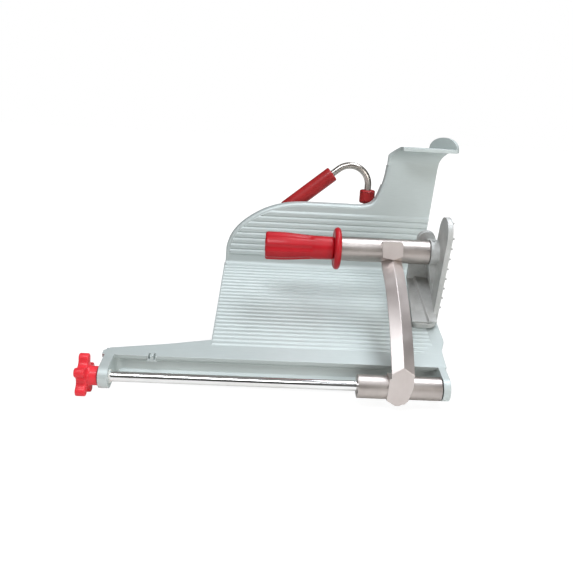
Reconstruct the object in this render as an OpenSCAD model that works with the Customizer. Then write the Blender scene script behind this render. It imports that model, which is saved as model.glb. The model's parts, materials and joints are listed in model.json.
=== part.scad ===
// Product table of a food slicer: a ridged aluminium tray with a back wall and a
// finger guard, a slide rod along its front edge, a swinging pusher arm and a rear handle.
// Millimetres. +X runs along the slide rod, +Y away from the operator, +Z up.
// The origin is the centre of the underside of the mounting pedestal.

/* [Table] */
// Clear length of the slide rod between the two ears
rod_span = 387.6; // [370:0.1:410]
// Slope of the bed, rising to the back
bed_slope = 15; // [12:0.5:17]
// Length of the bed up the slope
bed_length = 241; // [225:1:250]
// Thickness of the cast bed, wall and guard
wall_t = 5; // [4:0.5:6]
// Pitch of the bed ridges
bed_pitch = 8.82; // [8:0.01:9.5]
// Height of the bed ridges
ridge_h = 1.5; // [0.8:0.1:2]
// Pitch of the steps on the back wall
wall_pitch = 8.6; // [8:0.1:9]
// Depth of the steps on the back wall
step_h = 1.6; // [0.8:0.1:2.2]

/* [Slide rod and arm] */
// Diameter of the slide rod
rod_d = 12; // [10:0.5:14]
// Outside diameter of the lower sleeve
sleeve_d = 28; // [26:0.5:30]
// Outside diameter of the upper sleeve
upper_sleeve_d = 31.5; // [28:0.5:33]
// Length of the lower sleeve
lower_sleeve_len = 98; // [80:1:102]
// Width of the arm bar
bar_w = 26.7; // [22:0.1:28]
// Diameter of the pusher spindle
spindle_d = 12; // [10:0.5:14]

/* [Pusher] */
// Depth of the toothed plate along the bed
plate_depth = 77; // [60:1:84]
// Thickness of the toothed plate
plate_t = 6.5; // [5:0.5:8]
// Spacing of the teeth
tooth_pitch = 14.3; // [10:0.1:18]

/* [Handles] */
// Diameter of the guard disc on the pusher handle
disc_d = 55; // [48:1:60]
// Length of the pusher handle grip
grip_len = 88.4; // [80:0.1:100]
// Reach of the star knob lobes
knob_r = 25.8; // [24:0.1:30]
// Diameter of the rear handle bar
bar_d = 10; // [8:0.5:12]

/* [Pedestal] */
// Width of the pedestal foot
foot_w = 120; // [110:1:140]
// Depth of the pedestal foot
foot_d = 80; // [76:1:90]
// Spacing of the pedestal holes along X
hole_dx = 90; // [80:1:96]
// Spacing of the pedestal holes along Y
hole_dy = 55; // [50:1:60]

/* [Hidden] */
$fn = 64;

fit = 0.05; // radial clearance of a running or threaded fit
gap = 0.1;  // gap between parts that are screwed together

// the rod axis stands at y 0 in the table's own coordinates, foot_x and foot_y place the pedestal
foot_x = 300;
foot_y = 125;
rod_z = 26;

// front lip of the bed, top edge
lip_y = 22;
lip_z = rod_z + 18.5;
wall_y = lip_y + bed_length * cos(bed_slope);
junction_z = lip_z + bed_length * sin(bed_slope);

ear_r = 14;
left_ear_w = 11;
right_ear_w = 8.4;
side_x = rod_span + 2.4; // the table's right outline is drawn from here
bed_corner_x = -14;
bed_x0 = 112;
ridge_x1 = 377;
bed_ridges = 24;
wall_steps = 8;

// sleeves and arm
arm_x = 338.2;
upper_y = 127.6;
upper_z = rod_z + 137;
upper_x0 = 271.6;
upper_x1 = 386.4;
lower_x1 = rod_span - 1.6;
lower_x0 = lower_x1 - lower_sleeve_len;
bush_r = rod_d / 2 + 2;
bush_len = 22;
spindle_bush_r = spindle_d / 2 + 2;
bar_h = 28;
bar_front = -sleeve_d / 2 - 0.5;

// the arm's long bend is an arc about a line behind and below it
arc_y = 230.5;
arc_z = rod_z - 157.3;
arc_r = 308.5;
arc_low = 151;
arc_high = 106;

// pusher, in the frame of the spindle: p along the bed, q square to it
plate_x1 = 404.4;
plate_x0 = plate_x1 - plate_t;
plate_front = -plate_depth / 2;
foot_q = -84.8;
crown_r = 22.7;
crown_p = plate_front + crown_r;
crown_q = 33.5;

hub_x0 = upper_x1 + 1;
hub_r = 17;

// handle grip and disc on the spindle
disc_x1 = upper_x0 - gap;
disc_w = 9.8;
grip_x1 = disc_x1 - disc_w - gap;
grip_x0 = grip_x1 - grip_len;
grip_r0 = 18.2;
grip_r1 = 15.3;

// knob on the left end of the rod, distances to the left of the ear's inner face
knob_x0 = left_ear_w + 1.4;
knob_x1 = 35.1;
insert_r = 6.5;

rod_socket = 8;
beam_back = 36;
lock_r = 2.5;

// pad between the bed and the pedestal
pad_s = 104;
pad_s0 = 66;
pad_s1 = 142;
pad_t = 7;
pad_screw_r = 3;
flange_t = 9;
foot_hole_r = 4;

// rear handle, in a plane behind the wall
handle_y = wall_y + 33;
handle_leg_x = side_x - 65.7;
arch_r = 28.5;
arch_z = rod_z + 204.2;
leg_slope = 39.4;
leg_len = 101;
elbow_r = 12;
bend_step = 0.03; // a bend is this much thinner than the straight bar that laps it
bend_lap = 0.3;
right_elbow_z = rod_z + 177;
pad_back = wall_y + wall_t + 6;
arch_x = handle_leg_x - arch_r;
leg_top = [arch_x - arch_r * sin(leg_slope), arch_z + arch_r * cos(leg_slope)];
leg_end = [leg_top[0] - leg_len * cos(leg_slope), leg_top[1] - leg_len * sin(leg_slope)];
handle_feet = [
  [leg_end[0] - elbow_r * cos(leg_slope), leg_end[1] - elbow_r * sin(leg_slope)],
  [handle_leg_x, right_elbow_z - elbow_r]
];

function bez(a, b, c, d, n) = [
  for (i = [0:n])
    let (t = i / n, u = 1 - t)
      u * u * u * a + 3 * u * u * t * b + 3 * u * t * t * c + t * t * t * d
];

// a closed band of width w on the right-hand side of an open path
function unit(v) = v / norm(v);
function side(p, i) =
  let (a = p[max(i - 1, 0)], b = p[min(i + 1, len(p) - 1)], u = unit(b - a))
    [u[1], -u[0]];
function band(p, w) = concat(
  p,
  [for (i = [len(p) - 1:-1:0]) p[i] + w * side(p, i)]
);

// top edge of the wall seen from the front, from the left corner to the guard's top
wall_left = concat(
  [[bed_x0 + 1, junction_z - 8]],
  bez([bed_x0 + 2, junction_z + 24], [bed_x0 + 5, junction_z + 46],
    [bed_x0 + 22, junction_z + 66], [bed_x0 + 55, junction_z + 83], 10),
  bez([bed_x0 + 62, junction_z + 86], [bed_x0 + 80, junction_z + 93.5],
    [bed_x0 + 100, junction_z + 96.5], [bed_x0 + 122, junction_z + 96.5], 8)
);
wall_top = bez([292, junction_z + 96.3], [332, junction_z + 94.3],
  [332, junction_z + 101], [341, junction_z + 128], 14);
guard_top = rod_z + 238;
guard_left = bez([342, junction_z + 132], [343.7, junction_z + 138],
  [344.9, junction_z + 146], [345.9, guard_top], 6);
curl_r = 26;
lip_top = guard_top + curl_r + wall_t / 2;

// places a child given in table coordinates
module at_foot() {
  translate([-foot_x, -foot_y, 0])
    children();
}

// a profile drawn in Y and Z, run along X from x0 to x1
module along_x(x0, x1) {
  translate([x0, 0, 0])
    rotate([90, 0, 90])
      linear_extrude(x1 - x0)
        children();
}

// a profile drawn in X and Z, run back from y0 to y1
module along_y(y0, y1) {
  translate([0, y1, 0])
    rotate([90, 0, 0])
      linear_extrude(y1 - y0)
        children();
}

module rod_x(x0, x1, r, y = 0, z = rod_z) {
  translate([x0, y, z])
    rotate([0, 90, 0])
      cylinder(h = x1 - x0, r = r);
}

module cone_x(x0, x1, r0, r1, y = 0, z = rod_z) {
  translate([x0, y, z])
    rotate([0, 90, 0])
      cylinder(h = x1 - x0, r1 = r0, r2 = r1);
}

// frame of the bed: X along the rod, Y up the slope, Z square to the bed
module on_bed() {
  translate([0, lip_y, lip_z])
    rotate([bed_slope, 0, 0])
      children();
}

// frame of the pusher: the origin is on the spindle's axis
module on_spindle() {
  translate([0, upper_y, upper_z])
    rotate([bed_slope, 0, 0])
      children();
}

// ---- table casting ----

module bed_outline() {
  polygon(concat(
    [[bed_corner_x, 0.6], [bed_corner_x, 7.5], [-6.9, 13.6]],
    [[58.6, 25.7], [bed_x0, 38.3], [bed_x0, bed_length + 4]],
    [[side_x + 15.8, bed_length + 4], [side_x + 16, 100]],
    bez([side_x + 16.4, 58], [side_x + 15, 45], [side_x + 9.2, 42], [side_x + 8.8, 27], 6),
    [[side_x + 8, 0.5], [side_x - 4, 0], [0, 0]]
  ));
}

module bed_ridge(i) {
  s = 30.4 + bed_pitch * i;
  ridge_r = 3.2;
  right = i == 0 ? ridge_x1 : i == 1 ? ridge_x1 + 6 : ridge_x1 + 12;
  left = bed_x0 + 1;
  translate([left, s, ridge_h - ridge_r])
    rotate([0, 90, 0])
      cylinder(h = right - left, r = ridge_r, $fn = 32);
}

module bed() {
  on_bed() {
    translate([0, 0, -wall_t])
      linear_extrude(wall_t)
        bed_outline();
    intersection() {
      union() {
        for (i = [0:bed_ridges - 1])
          bed_ridge(i);
      }
      translate([0, 0, -wall_t + 1])
        cube([side_x + 16, bed_length, wall_t + ridge_h]);
    }
  }
}

// concave corner between the bed and the wall
module bed_fillet() {
  r = 9;
  cy = wall_y - r;
  cz = lip_z + (r + (cy - lip_y) * sin(bed_slope)) / cos(bed_slope);
  along_x(bed_x0 + 1.6, side_x + 15.2)
    difference() {
      polygon([
        [wall_y + 1, cz],
        [cy, cz],
        [cy + r * sin(bed_slope), cz - r * cos(bed_slope) - 1],
        [wall_y + 1, junction_z - 1]
      ]);
      translate([cy, cz])
        circle(r);
    }
}

module wall_outline() {
  polygon(concat(
    wall_left,
    wall_top,
    guard_left,
    [[side_x + 29.6, guard_top], [side_x + 26.6, guard_top - 43]],
    [[side_x + 25, guard_top - 67], [side_x + 23, guard_top - 92]],
    [[side_x + 15.8, junction_z], [side_x + 15.8, junction_z - 8]]
  ));
}

// each step overhangs a little below and rounds back to the wall above
module wall_step(i) {
  z0 = junction_z + 14.5 + wall_pitch * i;
  along_x(bed_x0, side_x + 30)
    polygon([
      [wall_y + 1, z0],
      [wall_y, z0],
      [wall_y - step_h, z0 + 0.9],
      [wall_y - step_h, z0 + 4.4],
      [wall_y - step_h + 0.3, z0 + 6],
      [wall_y, z0 + wall_pitch],
      [wall_y + 1, z0 + wall_pitch]
    ]);
}

module back_wall() {
  along_y(wall_y, wall_y + wall_t)
    wall_outline();
  intersection() {
    union() {
      for (i = [0:wall_steps - 1])
        wall_step(i);
    }
    along_y(wall_y - 3, wall_y + 2)
      wall_outline();
  }
}

// rim turned back along the top of the wall, shallower up the guard
module wall_rim() {
  along_y(wall_y + 1, wall_y + 18)
    polygon(band(concat(wall_left, wall_top), wall_t - 1));
  along_y(wall_y + 1, wall_y + 11)
    polygon(band(concat([wall_top[12], wall_top[14]], guard_left), wall_t - 1));
  along_y(wall_y + 1, wall_y + 11)
    polygon(band([
      [side_x + 29.6, guard_top],
      [side_x + 26.6, guard_top - 43],
      [side_x + 25, guard_top - 67],
      [side_x + 23, guard_top - 92],
      [side_x + 15.8, junction_z]
    ], wall_t - 1));
}

// cuts the front of the wall's upper edge to a round of r by d
module edge_round() {
  r = 5.4;
  d = 3.8;
  section = [
    [-1, -3], [r, -3], [r, 0], [r * 0.5, d * 0.134], [r * 0.134, d * 0.5], [0, d], [-1, d]
  ];
  path = concat(
    [[bed_x0 + 1.2, junction_z + 4]],
    [for (i = [1:len(wall_left) - 1]) wall_left[i]],
    wall_top,
    guard_left
  );
  n = len(path);
  m = len(section);
  points = [
    for (i = [0:n - 1], k = [0:m - 1])
      let (q = path[i] + section[k][0] * side(path, i))
        [q[0], wall_y + section[k][1], q[1]]
  ];
  walls = [
    for (i = [0:n - 2], k = [0:m - 1])
      let (a = i * m + k, b = i * m + (k + 1) % m)
        each [[b, a, b + m], [b + m, a, a + m]]
  ];
  ends = [
    [for (k = [0:m - 1]) k],
    [for (k = [m - 1:-1:0]) (n - 1) * m + k]
  ];
  polyhedron(points, concat(walls, ends), convexity = 10);
}

// plan of the curl and lip, wider in front than at the wall
module lip_plan() {
  y = wall_y;
  polygon(concat(
    [[345.9, y + 7.4]],
    bez([345.9, y + 1], [346.2, y - 0.6], [350.5, y - 2.2], [354.6, y - 7.6], 8),
    bez([356.6, y - 10.4], [360.6, y - 17], [362.8, y - 30], [357.8, y - 46], 8),
    bez([side_x + 43, y - 46], [side_x + 45.5, y - 38], [side_x + 44, y - 24], [side_x + 39, y - 13.6], 8),
    bez([side_x + 37.6, y - 11], [side_x + 34.6, y - 4.6], [side_x + 30, y - 1], [side_x + 29.7, y + 1], 8),
    [[side_x + 29.7, y + 7.4]]
  ));
}

// the guard's top curls forward into a flat lip
module guard_lip() {
  front_y = wall_y - 46;
  cy = wall_y - curl_r + wall_t / 2;
  intersection() {
    along_x(340, side_x + 50)
      difference() {
        union() {
          intersection() {
            translate([cy, guard_top])
              circle(curl_r + wall_t / 2);
            translate([cy, guard_top - 0.5])
              square(curl_r + wall_t);
          }
          translate([front_y - 1, lip_top - wall_t])
            square([cy - front_y + 1, wall_t]);
        }
        translate([cy, guard_top])
          circle(curl_r - wall_t / 2);
      }
    translate([0, 0, guard_top - 1])
      linear_extrude(40)
        lip_plan();
  }
}

// rounded tab that stands up along the lip's right side
module guard_tab() {
  tab_w = 25.5;
  tab_h = 16;
  translate([side_x + 29.4, wall_y - 24, lip_top - wall_t])
    rotate([0, 0, 126])
      rotate([90, 0, 0])
        linear_extrude(wall_t - 1, center = true)
          polygon(concat(
            [for (a = [0:12:180]) [tab_w * cos(a), wall_t - 0.5 + tab_h * sin(a)]],
            [[-tab_w, 0.5], [tab_w, 0.5]]
          ));
}

module beam_profile() {
  polygon([
    [31, rod_z - 8],
    [beam_back, rod_z - 8],
    [beam_back, lip_z + 1],
    [31, lip_z]
  ]);
  polygon([[26, lip_z - 3.5], [32, lip_z - 3], [32, lip_z - 11]]);
  polygon([[26.5, rod_z - 8], [32, rod_z - 8], [32, rod_z - 1]]);
}

module ear_profile() {
  translate([0, rod_z])
    circle(ear_r);
  polygon([
    [-3.2, rod_z + 13.6],
    [lip_y, lip_z],
    [beam_back, lip_z + 2.5],
    [beam_back, rod_z - 8],
    [30, rod_z - 8],
    [3.4, rod_z - 13.55],
    [0, rod_z]
  ]);
}

// quarter-round web in the corner between an ear and the beam
module ear_web(x, dir) {
  r = 9;
  translate([x, 31 - r, rod_z - 7])
    difference() {
      translate([dir > 0 ? -1 : -r, 0, 0])
        cube([r + 1, r + 1, lip_z - rod_z + 5]);
      translate([dir * r, 0, -1])
        cylinder(h = 60, r = r);
    }
}

module front_beam() {
  along_x(-left_ear_w + 2, rod_span + right_ear_w - 2)
    beam_profile();
  along_x(-left_ear_w, 0)
    ear_profile();
  along_x(rod_span, rod_span + right_ear_w)
    ear_profile();
  ear_web(0, 1);
  ear_web(rod_span, -1);
}

// small boss under the lip, and the two grooves that leave a tongue between them
module lip_boss() {
  translate([39.2, lip_y - 0.2, lip_z - 7.6])
    cube([10.8, 9.8, 7.2]);
}

module lip_grooves() {
  for (x = [40.5, 46.6])
    translate([x, lip_y - 2, lip_z - 5])
      cube([2.2, 7.6, 12]);
}

// stiffening ribs and the pad over the pedestal
module under_ribs() {
  on_bed() {
    for (x = [150, 215])
      translate([x, 14, -wall_t - 9])
        cube([4, bed_length - 12, 10]);
    translate([foot_x - 46, pad_s0, -wall_t - pad_t])
      cube([92, pad_s1 - pad_s0, pad_t + 1]);
  }
}

// a cylinder along Y at each foot of the rear handle
module at_handle_feet(y0, y1, r) {
  for (p = handle_feet)
    translate([p[0], y0, p[1]])
      rotate([-90, 0, 0])
        cylinder(h = y1 - y0, r = r);
}

// cylinders on the four screw positions between the pedestal and the bed
module pad_screws(r, z0, z1, sides = $fn) {
  on_bed()
    for (x = [-36, 36], s = [-22, 22])
      translate([foot_x + x, pad_s + s, z0])
        cylinder(h = z1 - z0, r = r, $fn = sides);
}

module product_table() {
  color([0.74, 0.78, 0.76])
    at_foot()
      difference() {
        union() {
          bed();
          bed_fillet();
          back_wall();
          wall_rim();
          guard_lip();
          guard_tab();
          front_beam();
          lip_boss();
          under_ribs();
          at_handle_feet(wall_y + 1, pad_back, 9);
        }
        edge_round();
        rod_x(-left_ear_w - 1, 1, rod_d / 2 + fit);
        rod_x(rod_span - 1, rod_span + rod_socket, rod_d / 2 + fit);
        lip_grooves();
        translate([rod_span + 5, 0, rod_z - 20])
          cylinder(h = 20, r = lock_r + fit);
        pad_screws(pad_screw_r + fit, -wall_t - pad_t - 1, -wall_t + 1);
        at_handle_feet(wall_y + 2.5, pad_back + 1, bar_d / 2 + fit);
      }
}

// ---- pedestal under the table ----

module pedestal() {
  column_w = 52;
  column_d = 46;
  base_t = 9;
  color([0.66, 0.68, 0.68])
    at_foot()
      difference() {
        union() {
          translate([foot_x - foot_w / 2, foot_y - foot_d / 2, 0])
            cube([foot_w, foot_d, base_t]);
          intersection() {
            translate([foot_x - column_w / 2, foot_y - column_d / 2, base_t / 2])
              cube([column_w, column_d, 90]);
            on_bed()
              translate([foot_x - 60, 0, -90])
                cube([120, 200, 90 - wall_t - pad_t - gap]);
          }
          on_bed()
            translate([foot_x - 45, pad_s0 + 1, -wall_t - pad_t - flange_t])
              cube([90, pad_s1 - pad_s0 - 2, flange_t - gap]);
        }
        for (x = [-hole_dx / 2, hole_dx / 2], y = [-hole_dy / 2, hole_dy / 2])
          translate([foot_x + x, foot_y + y, -1])
            cylinder(h = base_t + 2, r = foot_hole_r);
        pad_screws(pad_screw_r + 0.4, -wall_t - pad_t - flange_t - 1, -wall_t - pad_t + 1);
      }
}

module pedestal_screws() {
  head_top = -wall_t - pad_t - flange_t - gap;
  color([0.55, 0.56, 0.57])
    at_foot() {
      pad_screws(pad_screw_r, head_top - 0.5, -wall_t - 0.5);
      difference() {
        pad_screws(pad_screw_r + 2, head_top - 5, head_top);
        pad_screws(pad_screw_r - 0.5, head_top - 6, head_top - 2.5, 6);
      }
    }
}

// ---- slide rod and its knob ----

module slide_rod() {
  stud_r = 4;
  color([0.86, 0.86, 0.87])
    at_foot() {
      rod_x(-left_ear_w, rod_span + rod_socket - 1.2, rod_d / 2);
      cone_x(rod_span + rod_socket - 1.21, rod_span + rod_socket - 0.2, rod_d / 2, rod_d / 2 - 1);
      rod_x(-knob_x1 + 3, -left_ear_w + 0.1, stud_r);
    }
}

module rod_lock_screw() {
  color([0.5, 0.5, 0.52])
    at_foot()
      translate([rod_span + 5, 0, 0])
        difference() {
          translate([0, 0, rod_z - rod_d / 2 - gap - 6.4])
            cylinder(h = 6.4, r = lock_r);
          translate([0, 0, rod_z - rod_d / 2 - 8])
            cylinder(h = 4, r = 1.5, $fn = 6);
        }
}

module bumper(x0, x1, r) {
  at_foot()
    translate([x0, 0, rod_z])
      rotate([0, 90, 0])
        difference() {
          cylinder(h = x1 - x0, r = r);
          translate([0, 0, -1])
            cylinder(h = 5, r = rod_d / 2 + fit);
        }
}

module left_bumper() {
  color([0.85, 0.83, 0.78])
    bumper(0.02, 1.4, rod_d / 2 + 1.8);
}

module right_bumper() {
  color([0.1, 0.1, 0.1])
    bumper(rod_span - 1.3, rod_span - 0.02, ear_r - 1.6);
}

module star_profile() {
  lobe_r = 5.6;
  lobe_at = knob_r - lobe_r;
  valley_at = knob_r - 3.6;
  valley_r = norm([valley_at - lobe_at * cos(36), lobe_at * sin(36)]) - lobe_r;
  difference() {
    union() {
      circle(valley_at - valley_r + 0.6);
      for (a = [0:72:288])
        rotate(a)
          translate([lobe_at, 0])
            circle(lobe_r);
    }
    for (a = [36:72:324])
      rotate(a)
        translate([valley_at, 0])
          circle(valley_r);
  }
}

module star_knob() {
  star_t = 11.6;
  hub_r = 11.2;
  color([0.85, 0.1, 0.12])
    at_foot()
      translate([-knob_x1, 0, rod_z])
        rotate([0, 90, 0])
          rotate([0, 0, 168])
            difference() {
              union() {
                linear_extrude(star_t)
                  star_profile();
                cylinder(h = knob_x1 - knob_x0, r = hub_r);
                translate([0, 0, star_t - 0.1])
                  cylinder(h = 3, r1 = hub_r + 2, r2 = hub_r);
              }
              translate([0, 0, 3])
                cylinder(h = 60, r = insert_r + fit);
            }
}

module knob_insert() {
  color([0.8, 0.64, 0.3])
    at_foot()
      translate([-knob_x1 + 3, 0, rod_z])
        rotate([0, 90, 0])
          difference() {
            cylinder(h = knob_x1 - knob_x0 - 3, r = insert_r);
            translate([0, 0, -1])
              cylinder(h = 40, r = 4 + fit);
          }
}

module knob_washer() {
  color([0.2, 0.2, 0.2])
    at_foot()
      difference() {
        rod_x(-knob_x0 + gap, -left_ear_w - gap, 10.5);
        rod_x(-knob_x0 - 1, -left_ear_w + 1, 4 + fit);
      }
}

// ---- sliding bushes, sleeves and arm ----

module tube(x0, x1, r_out, r_in, y = 0, z = rod_z) {
  difference() {
    rod_x(x0, x1, r_out, y, z);
    rod_x(x0 - 1, x1 + 1, r_in, y, z);
  }
}

module slide_bush(x0) {
  color([0.72, 0.5, 0.25])
    at_foot()
      tube(x0, x0 + bush_len, bush_r, rod_d / 2 + fit);
}

module slide_bush_left() {
  slide_bush(lower_x0 + 0.5);
}

module slide_bush_right() {
  slide_bush(lower_x1 - bush_len - 0.5);
}

module lower_sleeve() {
  color([0.72, 0.68, 0.66])
    at_foot()
      difference() {
        rod_x(lower_x0, lower_x1, sleeve_d / 2);
        rod_x(lower_x0 + 0.3, lower_x1 - 0.3, bush_r + fit);
        rod_x(lower_x0 - 1, lower_x0 + 1, rod_d / 2 + 0.6);
        rod_x(lower_x1 - 1, lower_x1 + 1, rod_d / 2 + 0.6);
      }
}

// six-sided section of the arm: a low ridge at front and back, sides that draw in behind
module bar_section() {
  h = bar_h / 2;
  e = h - 5.4;
  w = bar_w / 2;
  back_w = w - 4.2;
  polygon([[h, 0], [e, w], [-e, back_w], [-h, 0], [-e, -back_w], [e, -w]]);
}

// the arm starts steep at the rod and flattens towards the spindle
module arm_sweep() {
  translate([arm_x, arc_y, arc_z])
    rotate([90, 0, 90])
      rotate([0, 0, arc_high])
        rotate_extrude(angle = arc_low - arc_high, $fn = 240)
          translate([arc_r - bar_h / 2, 0])
            bar_section();
}

// foot of the arm, around the front of the lower sleeve
module arm_foot() {
  along_y(bar_front, 5)
    translate([arm_x, rod_z])
      polygon([
        [-15, 16], [-16.2, -11.3], [-6.2, -17], [-1.4, -17], [8.4, -11.4], [13.1, 6], [13.5, 16]
      ]);
}

// head of the arm, around the upper sleeve, with a shallow V along its lower edge;
// it is cut across the bar, so that its top falls away behind
module arm_head() {
  top = upper_sleeve_d / 2 + 0.05;
  front = upper_y - upper_sleeve_d / 2 - 1;
  difference() {
    along_y(front, upper_y + 16)
      translate([arm_x, upper_z])
        polygon([
          [-13.6, top], [-15.6, 12.3], [-12.9, -6], [0.9, -8.7], [12.9, -3.4], [11.8, 12.6], [9.4, top]
        ]);
    translate([arm_x - 20, front, upper_z + top - 0.2])
      rotate([-25, 0, 0])
        cube([40, 60, 30]);
  }
}

module arm_bar() {
  color([0.7, 0.66, 0.64])
    at_foot()
      difference() {
        union() {
          intersection() {
            arm_sweep();
            translate([arm_x - 20, bar_front, rod_z - 15])
              cube([40, upper_y + 8 - bar_front, 260]);
          }
          arm_foot();
          arm_head();
        }
        rod_x(arm_x - 20, arm_x + 20, sleeve_d / 2 + fit);
        rod_x(arm_x - 20, arm_x + 20, upper_sleeve_d / 2 + fit, upper_y, upper_z);
      }
}

module upper_sleeve() {
  color([0.7, 0.66, 0.64])
    at_foot()
      difference() {
        rod_x(upper_x0, upper_x1, upper_sleeve_d / 2, upper_y, upper_z);
        rod_x(upper_x0 + 0.3, upper_x1 - 0.3, spindle_bush_r + fit, upper_y, upper_z);
        rod_x(upper_x0 - 1, upper_x0 + 1, spindle_d / 2 + 0.6, upper_y, upper_z);
        rod_x(upper_x1 - 1, upper_x1 + 1, spindle_d / 2 + 0.6, upper_y, upper_z);
      }
}

module spindle_bush(x0) {
  color([0.72, 0.5, 0.25])
    at_foot()
      tube(x0, x0 + bush_len, spindle_bush_r, spindle_d / 2 + fit, upper_y, upper_z);
}

module spindle_bush_left() {
  spindle_bush(upper_x0 + 0.5);
}

module spindle_bush_right() {
  spindle_bush(upper_x1 - bush_len - 0.5);
}

// ---- pusher and its handle ----

module spindle() {
  color([0.82, 0.82, 0.83])
    at_foot()
      rod_x(grip_x0 + 6, plate_x1 - 3, spindle_d / 2, upper_y, upper_z);
}

module spindle_washer() {
  color([0.15, 0.15, 0.15])
    at_foot()
      tube(upper_x1 + gap, hub_x0 - gap, 11.5, spindle_d / 2 + fit, upper_y, upper_z);
}

module handle_disc() {
  rim_r = disc_w / 2;
  color([0.8, 0.1, 0.13])
    at_foot()
      translate([disc_x1 - disc_w, upper_y, upper_z])
        rotate([0, 90, 0])
          difference() {
            rotate_extrude() {
              translate([disc_d / 2 - rim_r, rim_r])
                circle(rim_r);
              translate([0, 0.8])
                square([disc_d / 2 - rim_r, disc_w - 1.6]);
              square([13.5, disc_w]);
            }
            translate([0, 0, -1])
              cylinder(h = disc_w + 2, r = spindle_d / 2 + fit);
          }
}

// flutes run from the free end and die out short of the neck
module grip_flute(a) {
  flute_r = 7.5;
  depth = 1.5;
  tilt = 1.2;
  rotate([0, 0, a])
    translate([grip_r0 + flute_r - depth, 0, 0])
      rotate([0, -tilt, 0]) {
        translate([0, 0, -2])
          cylinder(h = grip_len * 0.68, r = flute_r);
        translate([0, 0, grip_len * 0.68 - 2])
          sphere(r = flute_r);
      }
}

module handle_grip() {
  flutes = 6;
  color([0.8, 0.08, 0.12])
    at_foot()
      translate([grip_x0, upper_y, upper_z])
        rotate([0, 90, 0])
          difference() {
            rotate_extrude()
              polygon(concat(
                [[0, 0], [grip_r0 - 3, 0], [grip_r0 - 0.8, 1], [grip_r0, 3.2]],
                bez([grip_r0, 18], [grip_r0 - 0.2, 42], [grip_r1 + 0.2, 46], [grip_r1, 70], 6),
                [[grip_r1 - 0.3, grip_len], [0, grip_len]]
              ));
            for (i = [0:flutes - 1])
              grip_flute(i * 360 / flutes + 26);
            translate([0, 0, 6])
              cylinder(h = grip_len, r = spindle_d / 2 + fit);
            translate([0, 0, -1])
              cylinder(h = 2.5, r = 8 + fit);
          }
}

module handle_end_cap() {
  color([0.65, 0.06, 0.1])
    at_foot()
      rod_x(grip_x0 - 0.4, grip_x0 + 1.5 - gap, 8, upper_y, upper_z);
}

// outline of the toothed plate: square to the bed in front, crowned on top,
// tapering behind, and rounded about the spindle where it swings past the bed
module plate_outline() {
  swing_r = -foot_q - 0.2;
  polygon(concat(
    [[plate_front, foot_q + 4]],
    [for (a = [180:-12:0]) [crown_p + crown_r * cos(a), crown_q + crown_r * sin(a)]],
    bez([8, 12], [16, -8], [37, -26], [39, -56], 6),
    [for (a = [28:-4:0]) [swing_r * sin(a), -swing_r * cos(a)]],
    [[plate_front + 4, foot_q]]
  ));
}

module tooth(p, q) {
  translate([plate_x1 - 0.2, p, q])
    rotate([0, 90, 0])
      cylinder(h = 3.9, r1 = 2.4, r2 = 0.9, $fn = 16);
}

function in_plate(p, q) =
  q > crown_q ? norm([p - crown_p, q - crown_q]) < crown_r - 3
  : p < 4 - 0.55 * max(-50, min(0, q)) && q > foot_q + 3 + p * p / 260;

module teeth() {
  for (i = [0:5], j = [0:10])
    let (p = plate_front + 6 + i * tooth_pitch, q = foot_q + 7 + j * tooth_pitch)
      if (in_plate(p, q))
        tooth(p, q);
}

// flange at the foot of the pusher, rounded at its front corners
module pusher_foot() {
  w = plate_x1 - 34;
  translate([0, 0, foot_q])
    linear_extrude(6.3)
      polygon(concat(
        [[w, 5]],
        bez([w, -40], [w, -49], [w + 2, -51.5], [w + 7, -51.5], 5),
        bez([w + 18, -51.5], [w + 26, -51.5], [w + 31, -48], [plate_x1, plate_front + 3], 6),
        [[plate_x1 - 1, 5]]
      ));
}

// web behind the sleeve: an upright with a rounded top, then a slanted panel down to the foot
module pusher_web() {
  top_x = plate_x1 - 18;
  web_t = 6;
  web_back = 22.5;
  panel_slope = 23;
  panel_t = 5;
  panel_x0 = plate_x1 - 35.6;
  translate([0, web_back, 0])
    rotate([90, 0, 0])
      linear_extrude(web_t) {
        translate([top_x, 10])
          circle(12);
        translate([top_x - 12, -50])
          square([24, 60]);
        translate([panel_x0, -50])
          square([30, 32]);
      }
  translate([0, -50, -76])
    rotate([panel_slope, 0, 0]) {
      translate([panel_x0, 0, -panel_t])
        cube([plate_x0 - panel_x0 + 1, 78, panel_t]);
      // crest across the panel, from the upright down to the foot's right corner,
      // falling to the plate on its right
      intersection() {
        translate([plate_x1 - 13.6, 0, 0])
          rotate([0, 0, 9.4])
            translate([0, 74, 0])
              rotate([90, 0, 0])
                linear_extrude(76)
                  polygon([[-3, -1], [0, 3], [24, -0.5], [24, -1]]);
        translate([plate_x0 - 60, -1, -2])
          cube([60 + plate_t / 2, 74, 12]);
      }
    }
}

// gusset that carries the hub down the plate to the panel
module hub_gusset() {
  translate([0, 17.5, 0])
    rotate([90, 0, 0])
      linear_extrude(29.5)
        polygon([
          [hub_x0, 0], [hub_x0, -12], [plate_x0 + 1, -60], [plate_x0 + 1, 0]
        ]);
}

module pusher_plate() {
  color([0.78, 0.79, 0.78])
    at_foot()
      difference() {
        union() {
          on_spindle() {
            translate([plate_x0, 0, 0])
              rotate([90, 0, 90])
                linear_extrude(plate_t)
                  plate_outline();
            teeth();
            pusher_foot();
            pusher_web();
            hub_gusset();
            rod_x(hub_x0, plate_x0 + 1, hub_r, 0, 0);
            translate([hub_x0, 0, -12])
              cube([plate_x0 - hub_x0 + 1, 20, 24]);
          }
        }
        rod_x(hub_x0 - 1, plate_x1 - 2.5, spindle_d / 2 + fit, upper_y, upper_z);
        on_spindle()
          translate([hub_x0 + 3.7, 0, spindle_d / 2 - 1])
            cylinder(h = 20, r = 2 + fit);
      }
}

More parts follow.
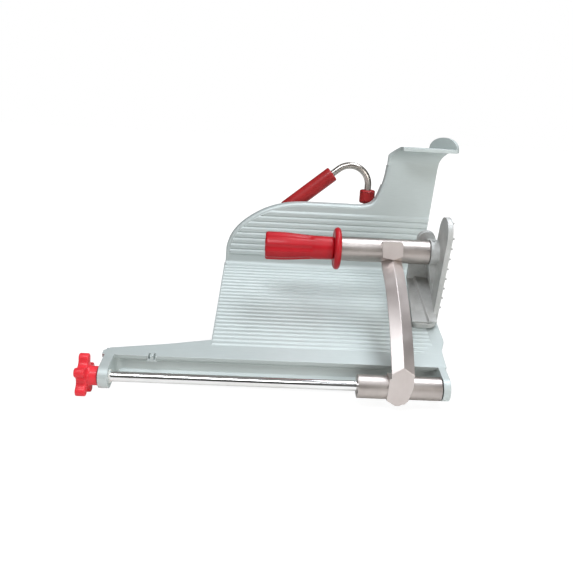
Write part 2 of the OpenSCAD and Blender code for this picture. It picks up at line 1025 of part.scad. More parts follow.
module pusher_set_screw() {
  color([0.4, 0.4, 0.42])
    at_foot()
      on_spindle()
        translate([hub_x0 + 3.7, 0, spindle_d / 2 + gap])
          cylinder(h = hub_r - spindle_d / 2 - 0.6, r = 2);
}

// ---- rear handle ----

// quarter bend from the handle's plane towards the wall; b turns it in that plane
module elbow(x, z, b) {
  translate([x, handle_y - elbow_r, z])
    rotate([0, b, 0])
      rotate([0, 0, 90])
        rotate_extrude(angle = 90)
          translate([elbow_r, 0])
            circle(bar_d / 2 - bend_step);
}

// a cylinder along the sloping leg, from t0 to t1 below its upper end
module on_leg(t0, t1, r) {
  translate([leg_top[0], handle_y, leg_top[1]])
    rotate([0, -90 - leg_slope, 0])
      translate([0, 0, t0])
        cylinder(h = t1 - t0, r = r);
}

module rear_handle_bar() {
  color([0.8, 0.78, 0.74])
    at_foot() {
      translate([handle_leg_x, handle_y, right_elbow_z - bend_lap])
        cylinder(h = arch_z - right_elbow_z + 2 * bend_lap, r = bar_d / 2);
      translate([arch_x, handle_y, arch_z])
        rotate([90, 0, 0])
          rotate_extrude(angle = 90 + leg_slope)
            translate([arch_r, 0])
              circle(bar_d / 2 - bend_step);
      on_leg(-bend_lap, leg_len + bend_lap, bar_d / 2);
      elbow(leg_end[0], leg_end[1], -leg_slope);
      elbow(handle_leg_x, right_elbow_z, -90);
      at_handle_feet(wall_y + 3, handle_y - elbow_r + bend_lap, bar_d / 2);
    }
}

module rear_grip_long() {
  color([0.72, 0.12, 0.12])
    at_foot()
      difference() {
        union() {
          on_leg(11, leg_len - 1, 10.6);
          on_leg(12, leg_len - 2, 11.5);
        }
        on_leg(-1, leg_len + 1, bar_d / 2 + fit);
      }
}

module rear_grip_short() {
  color([0.72, 0.12, 0.12])
    at_foot()
      translate([handle_leg_x, handle_y, right_elbow_z + 0.4])
        difference() {
          union() {
            cylinder(h = 20, r = 10.6);
            translate([0, 0, 1])
              cylinder(h = 18, r = 11.5);
          }
          translate([0, 0, -1])
            cylinder(h = 22, r = bar_d / 2 + fit);
        }
}

module handle_nut(p) {
  color([0.7, 0.7, 0.7])
    at_foot()
      translate([p[0], pad_back + gap, p[1]])
        rotate([-90, 0, 0])
          difference() {
            cylinder(h = 5, r = 6.5 / cos(30), $fn = 6);
            translate([0, 0, -1])
              cylinder(h = 7, r = bar_d / 2 + fit);
          }
}

module handle_nut_left() {
  handle_nut(handle_feet[0]);
}

module handle_nut_right() {
  handle_nut(handle_feet[1]);
}

product_table();
pedestal();
pedestal_screws();
slide_rod();
rod_lock_screw();
left_bumper();
right_bumper();
star_knob();
knob_insert();
knob_washer();
slide_bush_left();
slide_bush_right();
lower_sleeve();
arm_bar();
upper_sleeve();
spindle_bush_left();
spindle_bush_right();
spindle();
spindle_washer();
handle_disc();
handle_grip();
handle_end_cap();
pusher_plate();
pusher_set_screw();
rear_handle_bar();
rear_grip_long();
rear_grip_short();
handle_nut_left();
handle_nut_right();
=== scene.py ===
import json
import math

import bmesh
import bpy
from mathutils import Matrix, Vector


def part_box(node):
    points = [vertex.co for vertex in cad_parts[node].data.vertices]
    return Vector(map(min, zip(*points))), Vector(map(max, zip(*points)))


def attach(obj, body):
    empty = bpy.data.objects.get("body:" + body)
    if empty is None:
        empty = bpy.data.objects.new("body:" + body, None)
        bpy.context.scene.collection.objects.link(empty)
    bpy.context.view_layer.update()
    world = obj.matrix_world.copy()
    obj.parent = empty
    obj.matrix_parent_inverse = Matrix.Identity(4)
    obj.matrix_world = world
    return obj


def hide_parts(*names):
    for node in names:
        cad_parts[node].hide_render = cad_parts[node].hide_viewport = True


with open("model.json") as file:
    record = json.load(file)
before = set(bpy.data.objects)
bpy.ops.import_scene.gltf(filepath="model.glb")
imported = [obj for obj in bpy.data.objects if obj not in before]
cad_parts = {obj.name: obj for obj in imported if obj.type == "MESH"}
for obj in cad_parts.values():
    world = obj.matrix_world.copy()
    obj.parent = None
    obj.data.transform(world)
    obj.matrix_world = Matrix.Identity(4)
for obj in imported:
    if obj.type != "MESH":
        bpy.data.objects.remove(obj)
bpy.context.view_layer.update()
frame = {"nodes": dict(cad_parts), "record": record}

NODES = frame["nodes"]
SCENE = bpy.context.scene


# ---------------------------------------------------------------- camera

CAMERA_YAW = math.radians(1.78)     # turned to the right of +Y
CAMERA_DOWN = math.radians(15.0)    # looks down by this much
CAMERA_ROLL = math.radians(2.97)
CAMERA_PLACE = Vector((-0.12226, -0.82919, 0.33152))
SENSOR_W = 36.0
FOCAL = 650.0 / 573.0 * SENSOR_W    # focal length over frame width, times the sensor's width


def make_camera():
    fwd = Vector((
        math.sin(CAMERA_YAW) * math.cos(CAMERA_DOWN),
        math.cos(CAMERA_YAW) * math.cos(CAMERA_DOWN),
        -math.sin(CAMERA_DOWN),
    ))
    level = Vector((math.cos(CAMERA_YAW), -math.sin(CAMERA_YAW), 0.0))
    above = level.cross(fwd)
    right = level * math.cos(CAMERA_ROLL) + above * math.sin(CAMERA_ROLL)
    up = above * math.cos(CAMERA_ROLL) - level * math.sin(CAMERA_ROLL)
    cam = bpy.data.cameras.new("camera")
    cam.lens_unit = "MILLIMETERS"
    cam.sensor_width = SENSOR_W
    cam.lens = FOCAL
    cam.clip_start = 0.01
    cam.clip_end = 50.0
    obj = bpy.data.objects.new("camera", cam)
    SCENE.collection.objects.link(obj)
    pose = Matrix((right, up, -fwd)).transposed().to_4x4()
    pose.translation = CAMERA_PLACE
    obj.matrix_world = pose
    SCENE.camera = obj


# ---------------------------------------------------------------- shader helpers

# the Mix node's sockets by index, when it mixes colours
MIX_FAC, MIX_A, MIX_B, MIX_RESULT = 0, 6, 7, 2


class Mat:
    """A node material with a few short helpers."""

    def __init__(self, name):
        self.mat = bpy.data.materials.new(name)
        self.mat.use_nodes = True
        self.tree = self.mat.node_tree
        self.nodes = self.tree.nodes
        self.bsdf = self.nodes["Principled BSDF"]
        self.coord = self.nodes.new("ShaderNodeTexCoord").outputs["Object"]

    def link(self, a, b):
        self.tree.links.new(a, b)

    def set(self, **values):
        for key, value in values.items():
            self.bsdf.inputs[key.replace("_", " ")].default_value = value
        return self

    def mapping(self, scale):
        n = self.nodes.new("ShaderNodeMapping")
        n.inputs["Scale"].default_value = scale
        self.link(self.coord, n.inputs["Vector"])
        return n.outputs["Vector"]

    def noise(self, scale, detail, vector=None):
        n = self.nodes.new("ShaderNodeTexNoise")
        n.inputs["Scale"].default_value = scale
        n.inputs["Detail"].default_value = detail
        n.inputs["Roughness"].default_value = 0.55
        self.link(vector or self.coord, n.inputs["Vector"])
        return n.outputs["Fac"]

    def voronoi(self, scale):
        n = self.nodes.new("ShaderNodeTexVoronoi")
        n.inputs["Scale"].default_value = scale
        self.link(self.coord, n.inputs["Vector"])
        return n.outputs["Distance"]

    def ramp(self, fac, stops):
        n = self.nodes.new("ShaderNodeValToRGB")
        ramp = n.color_ramp
        while len(ramp.elements) < len(stops):
            ramp.elements.new(0.5)
        for element, (pos, col) in zip(ramp.elements, stops):
            element.position = pos
            element.color = (*col, 1)
        self.link(fac, n.inputs["Fac"])
        return n.outputs["Color"]

    def map_range(self, value, a, b, c, d):
        n = self.nodes.new("ShaderNodeMapRange")
        for key, v in zip(("From Min", "From Max", "To Min", "To Max"), (a, b, c, d)):
            n.inputs[key].default_value = v
        self.link(value, n.inputs["Value"])
        return n.outputs["Result"]

    def math(self, op, a, b):
        n = self.nodes.new("ShaderNodeMath")
        n.operation = op
        for i, v in enumerate((a, b)):
            if isinstance(v, (int, float)):
                n.inputs[i].default_value = v
            else:
                self.link(v, n.inputs[i])
        return n.outputs["Value"]

    def mix(self, fac, a, b):
        """a where fac is 0, b where it is 1; each is a socket, or a plain number or colour"""
        n = self.nodes.new("ShaderNodeMix")
        n.data_type = "RGBA"
        for key, v in ((MIX_FAC, fac), (MIX_A, a), (MIX_B, b)):
            if isinstance(v, (int, float)):
                n.inputs[key].default_value = v
            elif isinstance(v, tuple):
                n.inputs[key].default_value = (*v, 1)
            else:
                self.link(v, n.inputs[key])
        return n.outputs[MIX_RESULT]

    def bump(self, height, strength, distance, normal=None):
        n = self.nodes.new("ShaderNodeBump")
        n.inputs["Strength"].default_value = strength
        n.inputs["Distance"].default_value = distance
        self.link(height, n.inputs["Height"])
        if normal is not None:
            self.link(normal, n.inputs["Normal"])
        return n.outputs["Normal"]

    def edge(self, radius):
        """(rounded normal, 0 to 1 mask that is high along sharp edges)"""
        bevel = self.nodes.new("ShaderNodeBevel")
        bevel.samples = 6
        bevel.inputs["Radius"].default_value = radius
        geo = self.nodes.new("ShaderNodeNewGeometry")
        dot = self.nodes.new("ShaderNodeVectorMath")
        dot.operation = "DOT_PRODUCT"
        self.link(bevel.outputs["Normal"], dot.inputs[0])
        self.link(geo.outputs["Normal"], dot.inputs[1])
        return bevel.outputs["Normal"], self.map_range(dot.outputs["Value"], 0.99, 0.8, 0.0, 1.0)

    def worn(self, base, wear, amount, color):
        """base, paler along the edges that wear marks"""
        return self.mix(self.math("MULTIPLY", wear, amount), base, color)

    def out(self, color, rough=None, normal=None):
        self.link(color, self.bsdf.inputs["Base Color"])
        if rough is not None:
            self.link(rough, self.bsdf.inputs["Roughness"])
        if normal is not None:
            self.link(normal, self.bsdf.inputs["Normal"])
        return self.mat


# ---------------------------------------------------------------- materials

def table_metal():
    m = Mat("table_anodised").set(Metallic=0.35, Specular_IOR_Level=0.35)
    cloud = m.noise(9.0, 4)
    fine = m.noise(900.0, 2)
    streak = m.noise(60.0, 3, vector=m.mapping((1, 14, 14)))
    base = m.ramp(cloud, [(0.3, (0.520, 0.575, 0.558)), (0.7, (0.562, 0.616, 0.600))])
    streaks = m.ramp(streak, [(0.35, (0.40, 0.45, 0.43)), (0.65, (0.66, 0.71, 0.69))])
    base = m.mix(0.10, base, streaks)
    normal, wear = m.edge(0.0012)
    base = m.worn(base, wear, 0.5, (0.84, 0.87, 0.86))
    rough = m.map_range(streak, 0.3, 0.7, 0.46, 0.54)
    return m.out(base, rough, m.bump(fine, 0.05, 0.0004, normal))


def cast_metal():
    m = Mat("cast_aluminium").set(Metallic=0.45)
    cloud = m.noise(60.0, 5)
    grain = m.noise(800.0, 3)
    pits = m.voronoi(520.0)
    base = m.ramp(cloud, [(0.3, (0.44, 0.445, 0.425)), (0.7, (0.60, 0.605, 0.585))])
    base = m.mix(m.map_range(pits, 0.0, 0.28, 0.45, 0.0), base, (0.22, 0.22, 0.20))
    base = m.mix(m.map_range(grain, 0.55, 0.75, 0.0, 0.4), base, (0.72, 0.73, 0.71))
    normal, wear = m.edge(0.0014)
    base = m.worn(base, wear, 0.55, (0.80, 0.82, 0.81))
    rough = m.map_range(cloud, 0.3, 0.7, 0.5, 0.62)
    return m.out(base, rough, m.bump(grain, 0.45, 0.0006, normal))


def pedestal_metal():
    m = Mat("pedestal_aluminium").set(Metallic=0.7)
    cloud = m.noise(30.0, 4)
    lines = m.noise(300.0, 2, vector=m.mapping((0.2, 1, 1)))
    base = m.ramp(cloud, [(0.3, (0.50, 0.51, 0.50)), (0.7, (0.58, 0.59, 0.58))])
    normal, wear = m.edge(0.0012)
    base = m.worn(base, wear, 0.4, (0.8, 0.8, 0.8))
    rough = m.map_range(lines, 0.3, 0.7, 0.38, 0.5)
    return m.out(base, rough, m.bump(lines, 0.08, 0.0003, normal))


# noise scale along X, Y and Z: lines that run around the X axis, or no direction
AROUND_X = (1.0, 0.06, 0.06)
ALL_WAYS = (1.0, 1.0, 1.0)


def brushed_steel(name, dark, light, brushing, rough, strength):
    """Satin steel. rough is the range of roughness, strength that of the brushing bump."""
    m = Mat(name).set(Metallic=1.0)
    lines = m.noise(900.0, 2, vector=m.mapping(brushing))
    cloud = m.noise(28.0, 4)
    base = m.ramp(cloud, [(0.3, dark), (0.7, light)])
    base = m.mix(m.map_range(lines, 0.35, 0.65, 0.0, 0.16), base, dark)
    normal, wear = m.edge(0.0010)
    base = m.worn(base, wear, 0.6, (0.95, 0.92, 0.89))
    rough_map = m.map_range(cloud, 0.35, 0.65, *rough)
    return m.out(base, rough_map, m.bump(lines, strength, 0.0001, normal))


def chrome():
    m = Mat("rod_chrome").set(Metallic=1.0)
    lines = m.noise(1200.0, 2, vector=m.mapping((1.0, 0.05, 0.05)))
    scuff = m.noise(50.0, 4, vector=m.mapping((0.15, 1, 1)))
    base = m.ramp(scuff, [(0.35, (0.74, 0.73, 0.71)), (0.65, (0.84, 0.84, 0.83))])
    return m.out(base, m.map_range(scuff, 0.3, 0.7, 0.08, 0.17), m.bump(lines, 0.03, 0.0001))


def red_plastic(name, dark, light, rough, coat, grain):
    """Moulded plastic. rough is the range of roughness, grain the strength of its fine bump."""
    m = Mat(name).set(Coat_Weight=coat, Coat_Roughness=0.12, IOR=1.38)
    cloud = m.noise(35.0, 3)
    fine = m.noise(1400.0, 2)
    base = m.ramp(cloud, [(0.3, dark), (0.7, light)])
    normal, wear = m.edge(0.0010)
    base = m.worn(base, wear, 0.25, (0.85, 0.12, 0.14))
    rough_map = m.map_range(cloud, 0.3, 0.7, *rough)
    return m.out(base, rough_map, m.bump(fine, grain, 0.0002, normal))


def rubber():
    m = Mat("black_rubber")
    fine = m.noise(900.0, 3)
    base = m.ramp(fine, [(0.3, (0.018, 0.018, 0.018)), (0.7, (0.045, 0.044, 0.042))])
    return m.out(base, m.map_range(fine, 0.3, 0.7, 0.6, 0.8), m.bump(fine, 0.3, 0.0002))


def nylon():
    m = Mat("pale_nylon").set(IOR=1.5, Subsurface_Weight=0.1)
    fine = m.noise(700.0, 3)
    base = m.ramp(fine, [(0.3, (0.74, 0.72, 0.66)), (0.7, (0.82, 0.80, 0.75))])
    return m.out(base, m.map_range(fine, 0.3, 0.7, 0.35, 0.5), m.bump(fine, 0.1, 0.0001))


def turned(name, dark, light):
    m = Mat(name).set(Metallic=1.0)
    lines = m.noise(1200.0, 2, vector=m.mapping((1.0, 0.04, 0.04)))
    cloud = m.noise(60.0, 3)
    base = m.ramp(cloud, [(0.3, dark), (0.7, light)])
    return m.out(base, m.map_range(lines, 0.35, 0.65, 0.22, 0.36), m.bump(lines, 0.12, 0.0002))


def make_materials():
    return {
        "table_casting": table_metal(),
        "pedestal_casting": pedestal_metal(),
        "fastener_steel": turned("fastener_steel", (0.42, 0.42, 0.42), (0.56, 0.56, 0.55)),
        "rod_chrome": chrome(),
        "black_rubber": rubber(),
        "red_gloss": red_plastic(
            "red_gloss", (0.40, 0.004, 0.010), (0.49, 0.007, 0.015), (0.34, 0.42), 0.10, 0.04),
        "red_knob": red_plastic(
            "red_knob", (0.74, 0.030, 0.042), (0.84, 0.040, 0.055), (0.34, 0.42), 0.10, 0.04),
        "red_satin": red_plastic(
            "red_satin", (0.28, 0.010, 0.011), (0.40, 0.016, 0.017), (0.40, 0.50), 0.08, 0.10),
        "brass_insert": turned("brass_insert", (0.62, 0.46, 0.2), (0.78, 0.6, 0.28)),
        "bronze_bush": turned("bronze_bush", (0.48, 0.29, 0.14), (0.62, 0.4, 0.2)),
        # the sleeves' steel is darker than the bar's: painted shade, standing in for the shaded bed
        # that the sleeves reflect
        "arm_stainless": brushed_steel(
            "sleeve_stainless_painted_shade", (0.40, 0.36, 0.335), (0.52, 0.475, 0.445), AROUND_X,
            (0.34, 0.42), 0.06),
        "arm_bar_stainless": brushed_steel(
            "bar_stainless", (0.56, 0.50, 0.475), (0.66, 0.61, 0.58), AROUND_X,
            (0.42, 0.50), 0.04),
        "handle_stainless": brushed_steel(
            "handle_stainless", (0.44, 0.405, 0.365), (0.54, 0.505, 0.465), ALL_WAYS,
            (0.25, 0.31), 0.004),
        "pale_nylon": nylon(),
        "pusher_casting": cast_metal(),
    }


# nodes whose finish differs from the rest of their slot; the bar is also lighter, as the sleeves'
# steel is darkened with painted shade
OWN_MATERIAL = {"arm_bar": "arm_bar_stainless"}


def dress_nodes(mats):
    slots = {p["node"]: p["material_slot"] for p in frame["record"]["subparts"]}
    for name, obj in NODES.items():
        mesh = obj.data
        mesh.materials.clear()
        mesh.materials.append(mats[OWN_MATERIAL.get(name, slots[name])])


# ---------------------------------------------------------------- mesh helpers

NEEDLE = 0.0002    # radius of the ring that closes a bore's floor on the axis


def add_piece(name, bm, mat, body, node):
    """A smooth piece in place of a CAD node, riding body, in material mat."""
    mesh = bpy.data.meshes.new(name)
    bm.to_mesh(mesh)
    bm.free()
    for polygon in mesh.polygons:
        polygon.use_smooth = True
    mesh.materials.append(MATS[mat])
    obj = bpy.data.objects.new(name, mesh)
    SCENE.collection.objects.link(obj)
    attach(obj, body)
    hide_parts(node)


def loft(rings, close=False):
    """A bmesh skinned over rings of equal length; close joins the last ring to the first."""
    bm = bmesh.new()
    rows = [[bm.verts.new(p) for p in ring] for ring in rings]
    n = len(rows[0])
    pairs = list(zip(rows, rows[1:]))
    if close:
        pairs.append((rows[-1], rows[0]))
    for a, b in pairs:
        for i in range(n):
            j = (i + 1) % n
            bm.faces.new((a[i], a[j], b[j], b[i]))
    if not close:
        bm.faces.new(rows[0][::-1])
        bm.faces.new(rows[-1])
    bmesh.ops.recalc_face_normals(bm, faces=bm.faces)
    return bm


def round_edge(r, steps=6):
    """(inset, drop) pairs down a quarter round, from the face to the side."""
    return [
        (r * (1 - math.sin(t)), r * (1 - math.cos(t)))
        for t in (math.pi / 2 * k / steps for k in range(steps + 1))
    ]


def lathe(start, axis, profile, around, shape=None):
    """Rings turned about axis: profile holds (distance, radius), shape changes each radius."""
    axis = Vector(axis).normalized()
    across = Vector((0, 0, 1)) if abs(axis.z) < 0.9 else Vector((1, 0, 0))
    u = (across - axis * across.dot(axis)).normalized()
    v = axis.cross(u)
    rings = []
    for t, r in profile:
        ring = []
        for k in range(around):
            a = 2 * math.pi * k / around
            rr = shape(t, r, a) if shape else r
            ring.append(Vector(start) + axis * t + (u * math.cos(a) + v * math.sin(a)) * rr)
        rings.append(ring)
    return rings


# ---------------------------------------------------------------- pieces

LOBES = 5
LOBE_TURN = math.radians(360 / LOBES)
STAR_REACH = 0.0258    # axis to the tip of a lobe
LOBE_R = 0.0056
VALLEY_DIP = 0.0036    # the valley arcs' centres lie this far inside the reach
LOBE_STEPS = 16
VALLEY_STEPS = 10


def star_outline():
    """(point, outward normal) pairs of a star of round lobes and round valleys."""
    lobe_at = STAR_REACH - LOBE_R
    valley_at = STAR_REACH - VALLEY_DIP
    half = LOBE_TURN / 2
    to_valley = Vector((valley_at * math.cos(half) - lobe_at, valley_at * math.sin(half)))
    valley_r = to_valley.length - LOBE_R
    meet = math.atan2(to_valley.y, to_valley.x)
    out = []
    for k in range(LOBES):
        turn = LOBE_TURN * k
        centre = Vector((math.cos(turn), math.sin(turn))) * lobe_at
        for i in range(LOBE_STEPS + 1):
            a = turn - meet + 2 * meet * i / LOBE_STEPS
            n = Vector((math.cos(a), math.sin(a)))
            out.append((centre + n * LOBE_R, n))
        middle = turn + half
        centre = Vector((math.cos(middle), math.sin(middle))) * valley_at
        first = turn + meet + math.pi
        last = 2 * (middle + math.pi) - first
        for i in range(1, VALLEY_STEPS):
            a = first + (last - first) * i / VALLEY_STEPS
            n = Vector((math.cos(a), math.sin(a)))
            out.append((centre + n * valley_r, -n))
    return out


def make_knob():
    low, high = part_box("star_knob")
    length = high.x - low.x
    rod_low, rod_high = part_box("slide_rod")
    axis_y = (rod_low.y + rod_high.y) / 2
    axis_z = (rod_low.z + rod_high.z) / 2
    outline = star_outline()
    directions = [p.normalized() for p, _ in outline]
    star_t = 0.0116        # thickness of the star
    hub_r = 0.0112
    fillet = 0.002         # how far the fillet between star and hub spreads
    bore_r = 0.00656       # clears the brass insert
    bore_floor = 0.0032
    dish_r = 0.0064        # shallow dish in the middle of the face
    dish_deep = 0.0009
    turn = math.radians(168)

    def star(t, inset):
        return [(p - n * inset, t) for p, n in outline]

    def circle(t, r):
        return [(d * r, t) for d in directions]

    def dish_rim(r, roundness, inset):
        return [
            (d * r * roundness + (p - n * inset) * (1 - roundness), 0.0)
            for d, (p, n) in zip(directions, outline)
        ]

    edge = round_edge(0.0016, 5)
    rings = [circle(dish_deep, NEEDLE), circle(dish_deep, dish_r - 0.0006)]
    rings += [circle(0.0007, dish_r), circle(0.0, dish_r + 0.0004)]
    rings += [dish_rim(0.009, 0.7, 0.004)]
    rings += [star(drop, inset) for inset, drop in edge]
    rings += [star(star_t - drop, inset) for inset, drop in reversed(edge)]
    rings += [circle(star_t, hub_r + fillet), circle(star_t + 0.0012, hub_r + 0.0006)]
    rings += [circle(star_t + 0.0028, hub_r), circle(length - 0.0007, hub_r)]
    rings += [circle(length - 0.0002, hub_r - 0.0002), circle(length, hub_r - 0.0008)]
    rings += [circle(length, bore_r), circle(bore_floor, bore_r), circle(bore_floor, NEEDLE)]
    rows = []
    for ring in rings:
        row = []
        for p, t in ring:
            up = -(p.x * math.cos(turn) - p.y * math.sin(turn))
            side = p.x * math.sin(turn) + p.y * math.cos(turn)
            row.append(Vector((low.x + t, axis_y + side, axis_z + up)))
        rows.append(row)
    add_piece("knob_star", loft(rows), "red_knob", "knob", "star_knob")


# the hole through the disc and the grip, just over the spindle
SPINDLE_HOLE_R = 0.00606


def make_grip():
    low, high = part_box("handle_grip")
    length = high.x - low.x
    pin_low, pin_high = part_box("spindle")
    start = (low.x, (pin_low.y + pin_high.y) / 2, (pin_low.z + pin_high.z) / 2)
    end_r, waist_r = 0.01816, 0.01526
    taper_from, taper_len = 0.018, 0.052
    neck_from, neck_len, neck_drop = 0.07, 0.018, 0.0003
    flutes = 6
    first_flute = math.radians(86)    # one flute looks nearly at the operator
    flute_half_angle = 0.0046 / end_r
    flute_deep = 0.00155
    flute_end = length * 0.7
    flute_fade = 0.005
    cap_r, cap_deep = 0.0079, 0.0016  # seat of the end cap
    end_round = 0.0030
    hole_floor = 0.0062
    side_from, side_to = 0.0032, length - 0.0010
    side_steps = 44
    inside_r = 0.012                  # rings smaller than this belong to the seat and the hole

    def side_r(t):
        k = min(max((t - taper_from) / taper_len, 0), 1)
        neck = neck_drop * max(t - neck_from, 0) / neck_len
        return end_r + (waist_r - end_r) * k * k * (3 - 2 * k) - neck

    def flute(t, r, a):
        if r <= inside_r:
            return r
        depth = 0.0
        for k in range(flutes):
            off = (a - first_flute - 2 * math.pi * k / flutes + math.pi) % (2 * math.pi) - math.pi
            if abs(off) < flute_half_angle * 1.25:
                depth = max(depth, 1 - (off / flute_half_angle) ** 2)
        past = max(0.0, t - flute_end + flute_fade) / flute_fade
        return r - flute_deep * depth * max(0.0, 1 - past ** 2)

    profile = [(cap_deep, NEEDLE), (cap_deep, cap_r), (0.0012, 0.0083), (0.0, 0.0085)]
    profile += [(drop, end_r - inset) for inset, drop in round_edge(end_round)]
    for k in range(1, side_steps + 1):
        t = side_from + (side_to - side_from) * k / side_steps
        profile.append((t, side_r(t)))
    profile += [(length - 0.0004, side_r(length) - 0.0003), (length, side_r(length) - 0.0010)]
    profile += [(length, SPINDLE_HOLE_R), (hole_floor, SPINDLE_HOLE_R), (hole_floor, NEEDLE)]
    rings = lathe(start, (1, 0, 0), profile, 180, flute)
    add_piece("grip_body", loft(rings), "red_gloss", "pusher", "handle_grip")


def make_disc():
    low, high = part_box("handle_disc")
    w = high.x - low.x
    r = (high.z - low.z) / 2
    start = (low.x, (low.y + high.y) / 2, (low.z + high.z) / 2)
    sunk = 0.0010          # the web lies this far under the boss
    rim_r = 0.0044
    web_to = r - 0.0050
    side = [(0.0, SPINDLE_HOLE_R), (0.0, 0.0130), (0.0006, 0.0138), (sunk, 0.0150), (sunk, web_to)]
    half = w / 2 - 0.0006
    rim = [(w / 2 - half * math.cos(a), r - rim_r + rim_r * math.sin(a))
           for a in (math.pi * k / 16 for k in range(17))]
    back = [(w - t, x) for t, x in reversed(side)]
    rings = lathe(start, (1, 0, 0), side + rim + back, 120)
    add_piece("disc_body", loft(rings, close=True), "red_gloss", "pusher", "handle_disc")


REAR_GRIP_R = 0.0115
REAR_BORE_R = 0.00506    # just over the handle bar


def tube_profile(length, edge_r):
    """A tube with round outer edges and bevelled mouths."""
    edge = round_edge(edge_r)
    head = [(drop, REAR_GRIP_R - inset) for inset, drop in edge]
    side = [(length * k / 8, REAR_GRIP_R) for k in range(1, 8)]
    tail = [(length - drop, REAR_GRIP_R - inset) for inset, drop in reversed(edge)]
    mouth = 0.0008
    return (
        [(mouth, REAR_BORE_R), (0.0, REAR_BORE_R + mouth)] + head + side + tail
        + [(length, REAR_BORE_R + mouth), (length - mouth, REAR_BORE_R)]
    )


def make_rear_grip():
    low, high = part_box("rear_grip_long")
    slope = math.radians(39.4)
    axis = Vector((-math.cos(slope), 0, -math.sin(slope)))
    # from a corner of the box to the end of the axis: under the radius, as the edges are round
    corner_r = 0.0106
    reach = Vector((math.sin(slope), 0, math.cos(slope))) * corner_r
    middle_y = (low.y + high.y) / 2
    top = Vector((high.x - reach.x, middle_y, high.z - reach.z))
    end = Vector((low.x + reach.x, middle_y, low.z + reach.z))
    rings = lathe(top, axis, tube_profile((end - top).length, 0.0022), 72)
    add_piece("rear_grip_body", loft(rings, close=True), "red_satin", "table", "rear_grip_long")


def make_rear_ferrule():
    low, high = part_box("rear_grip_short")
    start = ((low.x + high.x) / 2, (low.y + high.y) / 2, low.z)
    rings = lathe(start, (0, 0, 1), tube_profile(high.z - low.z, 0.0026), 72)
    add_piece("rear_ferrule_body", loft(rings, close=True), "red_satin", "table", "rear_grip_short")


def make_pieces():
    make_knob()
    make_grip()
    make_disc()
    make_rear_grip()
    make_rear_ferrule()


# ---------------------------------------------------------------- studio

PAPER_BOUNCE = (0.93, 0.915, 0.89)    # the floor's colour for all but camera rays
GLOW_NEAR, GLOW_FAR = 0.20, 0.60      # the floor's glow grows between these distances
GLOW = 1.15


def make_floor():
    bm = bmesh.new()
    bmesh.ops.create_grid(bm, x_segments=8, y_segments=8, size=8.0)
    mesh = bpy.data.meshes.new("floor")
    bm.to_mesh(mesh)
    bm.free()
    obj = bpy.data.objects.new("floor", mesh)
    SCENE.collection.objects.link(obj)
    m = Mat("floor_paper").set(Roughness=0.9, Specular_IOR_Level=0.1)
    paper = m.ramp(m.noise(3.0, 2), [(0.0, (0.86, 0.86, 0.85)), (1.0, (0.88, 0.88, 0.87))])
    # the paper brightens to white away from the object, for the camera alone
    length = m.nodes.new("ShaderNodeVectorMath")
    length.operation = "LENGTH"
    m.link(m.coord, length.inputs[0])
    far = m.map_range(length.outputs["Value"], GLOW_NEAR, GLOW_FAR, 0.80, 1.0)
    path = m.nodes.new("ShaderNodeLightPath")
    m.out(m.mix(path.outputs["Is Camera Ray"], PAPER_BOUNCE, paper))
    fac = m.math("MULTIPLY", far, path.outputs["Is Camera Ray"])
    white = m.nodes.new("ShaderNodeEmission")
    white.inputs["Color"].default_value = (1, 1, 1, 1)
    white.inputs["Strength"].default_value = GLOW
    mix = m.nodes.new("ShaderNodeMixShader")
    m.link(fac, mix.inputs["Fac"])
    m.link(m.bsdf.outputs["BSDF"], mix.inputs[1])
    m.link(white.outputs["Emission"], mix.inputs[2])
    m.link(mix.outputs["Shader"], m.nodes["Material Output"].inputs["Surface"])
    mesh.materials.append(m.mat)


def area_light(name, place, target, size, power, color=(1, 1, 1)):
    """A rectangular light at place that faces target; size is its width and height."""
    light = bpy.data.lights.new(name, "AREA")
    light.shape = "RECTANGLE"
    light.size, light.size_y = size
    light.energy = power
    light.color = color
    obj = bpy.data.objects.new(name, light)
    SCENE.collection.objects.link(obj)
    obj.location = place
    obj.rotation_euler = (Vector(target) - Vector(place)).to_track_quat("-Z", "Y").to_euler()


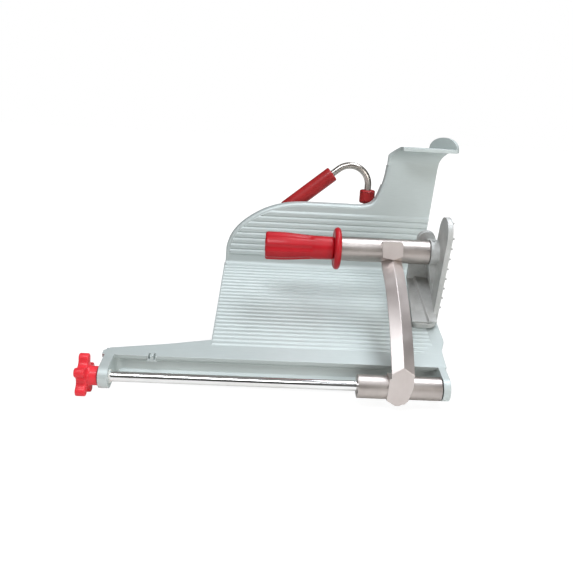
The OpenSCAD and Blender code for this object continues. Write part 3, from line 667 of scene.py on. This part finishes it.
def make_world():
    """White to the camera. Everything else sees a dim room, brighter overhead."""
    world = bpy.data.worlds.new("studio")
    SCENE.world = world
    world.use_nodes = True
    tree = world.node_tree
    nodes, links = tree.nodes, tree.links
    back = nodes["Background"]
    coord = nodes.new("ShaderNodeTexCoord")
    sep = nodes.new("ShaderNodeSeparateXYZ")
    links.new(coord.outputs["Generated"], sep.inputs["Vector"])
    ramp = nodes.new("ShaderNodeValToRGB")
    stops = [(0.0, 0.06), (0.4, 0.09), (0.65, 0.20), (1.0, 0.30)]    # (height, brightness)
    while len(ramp.color_ramp.elements) < len(stops):
        ramp.color_ramp.elements.new(0.5)
    for element, (pos, v) in zip(ramp.color_ramp.elements, stops):
        element.position = pos
        element.color = (v, v * 0.985, v * 0.965, 1)
    links.new(sep.outputs["Z"], ramp.inputs["Fac"])
    path = nodes.new("ShaderNodeLightPath")
    mix = nodes.new("ShaderNodeMix")
    mix.data_type = "RGBA"
    links.new(path.outputs["Is Camera Ray"], mix.inputs[MIX_FAC])
    links.new(ramp.outputs["Color"], mix.inputs[MIX_A])
    mix.inputs[MIX_B].default_value = (1.0, 1.0, 1.0, 1)
    links.new(mix.outputs[MIX_RESULT], back.inputs["Color"])
    back.inputs["Strength"].default_value = 1.0


def make_lights():
    cool, warm = (0.94, 0.985, 1.06), (1.0, 0.985, 0.96)
    area_light("top", (0.34, 0.05, 1.25), (0, 0, 0), (0.8, 0.5), 10, cool)
    # the bright line along the sleeves
    area_light("band", (-0.35, -0.75, 1.10), (0, 0, 0.1), (0.8, 0.35), 8, (0.95, 0.985, 1.05))
    area_light("key", (1.05, -1.35, 0.50), (0.05, 0, 0.04), (0.7, 0.5), 8, warm)
    area_light("left", (-1.3, -1.1, 0.6), (-0.1, 0, 0.1), (0.8, 0.8), 3)


# ---------------------------------------------------------------- run

make_camera()
make_floor()
make_world()
make_lights()
MATS = make_materials()
dress_nodes(MATS)
make_pieces()
SCENE.view_settings.view_transform = "Standard"
SCENE.view_settings.look = "None"
